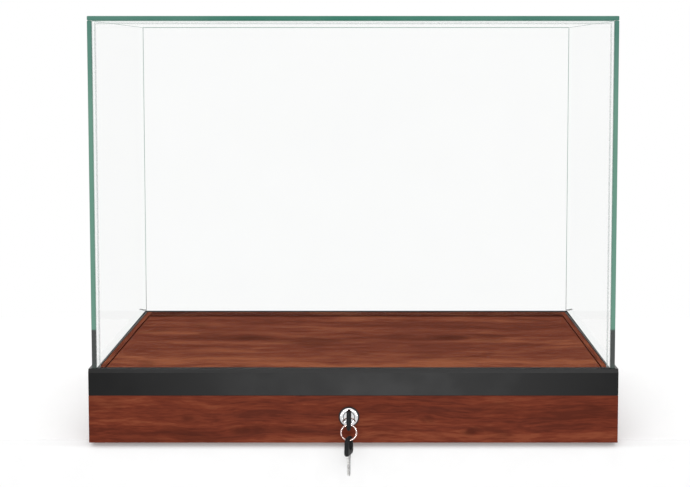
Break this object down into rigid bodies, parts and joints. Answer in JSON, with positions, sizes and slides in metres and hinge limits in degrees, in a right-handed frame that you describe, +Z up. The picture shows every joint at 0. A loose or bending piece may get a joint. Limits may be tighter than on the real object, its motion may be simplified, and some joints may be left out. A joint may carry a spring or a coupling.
{
  "type": "countertop display case",
  "caption": "Countertop display case: a hinged glass hood in a black metal frame over a raised wooden deck and base, with a front cam lock, a key and a spare key on a ring.",
  "frame": {"origin": "middle of the base's underside, on the counter", "axes": "+Z up, -Y towards the customer's side with the lock, +X to the right as seen from the front"},
  "size_m": [0.6, 0.4362, 0.5151],
  "materials": {
    "cherry_veneer": "satin veneer, grain along the length",
    "fibreboard": "raw",
    "raw_softwood": "raw",
    "black_metal": "satin black coat",
    "clear_glass": "clear, polished edges",
    "clear_seal": "clear",
    "black_rubber": "matt",
    "cast_zinc": "as cast",
    "zinc_steel": "zinc plated",
    "nickel_steel": "nickel plated",
    "chrome": "polished",
    "key_steel": "nickel plated",
    "ring_steel": "polished",
    "black_plastic": "fine satin"
  },
  "bodies": {
    "base": {"front_fascia": "cherry_veneer", "rear_board": "cherry_veneer", "left_side_board": "cherry_veneer", "right_side_board": "cherry_veneer", "bottom_panel": "fibreboard", "corner_blocks": "raw_softwood", "ledge_panel": "fibreboard", "left_deck_rail": "cherry_veneer", "right_deck_rail": "cherry_veneer", "rear_deck_rail": "cherry_veneer", "front_deck_rail": "cherry_veneer", "deck_bearers": "raw_softwood", "deck_panel": "cherry_veneer", "bottom_screws": "zinc_steel", "deck_screws": "zinc_steel", "hinge_base_leaves": "nickel_steel", "hinge_pins": "zinc_steel", "hinge_base_screws": "zinc_steel", "lock_body": "chrome", "lock_nut": "zinc_steel"},
    "hood": {"front_glass": "clear_glass", "rear_glass": "clear_glass", "left_glass": "clear_glass", "right_glass": "clear_glass", "top_glass": "clear_glass", "front_seal_bead": "clear_seal", "front_frame_rail": "black_metal", "rear_frame_rail": "black_metal", "left_frame_rail": "black_metal", "right_frame_rail": "black_metal", "frame_corner_keys": "cast_zinc", "glazing_gasket": "black_rubber", "hinge_hood_leaves": "nickel_steel", "hinge_hood_screws": "zinc_steel", "lock_keeper": "nickel_steel", "keeper_screws": "zinc_steel"},
    "plug": {"lock_plug": "chrome", "lock_cam": "nickel_steel", "cam_screw": "zinc_steel"},
    "key": {"key_blade": "key_steel", "key_head": "black_plastic"},
    "ring": {"key_ring": "ring_steel"},
    "spare_key": {"spare_key_blade": "key_steel", "spare_key_head": "black_plastic"}
  },
  "joints": [
    {"name": "hood_hinge", "type": "hinge", "parent": "base", "child": "hood", "pos_m": [0, 0.20285, 0.0543], "axis": [-1, 0, 0], "range_deg": [0, 75]},
    {"name": "lock_turn", "type": "hinge", "parent": "base", "child": "plug", "pos_m": [-0.005, -0.2, 0.03], "axis": [0, 1, 0], "range_deg": [0, 90]},
    {"name": "key_slide", "type": "slide", "parent": "plug", "child": "key", "axis": [0, -1, 0], "range_m": [0, 0.025]},
    {"name": "ring_swing", "type": "hinge", "parent": "key", "child": "ring", "pos_m": [-0.005, -0.2194, 0.02537], "axis": [1, 0, 0], "range_deg": [-60, 8]},
    {"name": "spare_key_swing", "type": "hinge", "parent": "ring", "child": "spare_key", "pos_m": [-0.005, -0.2194, 0.00797], "axis": [1, 0, 0], "range_deg": [-45, 8]}
  ]
}
